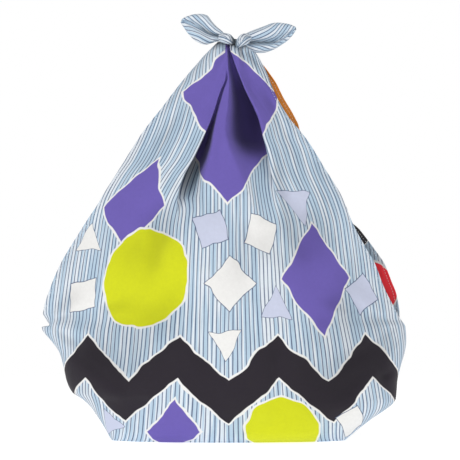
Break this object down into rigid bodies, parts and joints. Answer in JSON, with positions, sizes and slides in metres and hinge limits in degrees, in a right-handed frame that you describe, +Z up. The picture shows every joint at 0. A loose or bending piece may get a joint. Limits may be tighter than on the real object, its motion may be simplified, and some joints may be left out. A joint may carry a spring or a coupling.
{
  "type": "furoshiki wrap",
  "caption": "Square cotton wrapping cloth tied as a drop-shaped standing bag with a knot, two ears and open sides.",
  "frame": {"origin": "middle of the flat base, on the surface that the wrap stands on", "axes": "+Z up to the knot, -Y out of the front panel, +X to the right when the front is looked at"},
  "size_m": [0.4407, 0.1954, 0.5224],
  "materials": {
    "printed_cotton": "matt plain-weave cotton, printed"
  },
  "bodies": {
    "root": {"wrap_cloth": "printed_cotton"}
  },
  "joints": []
}
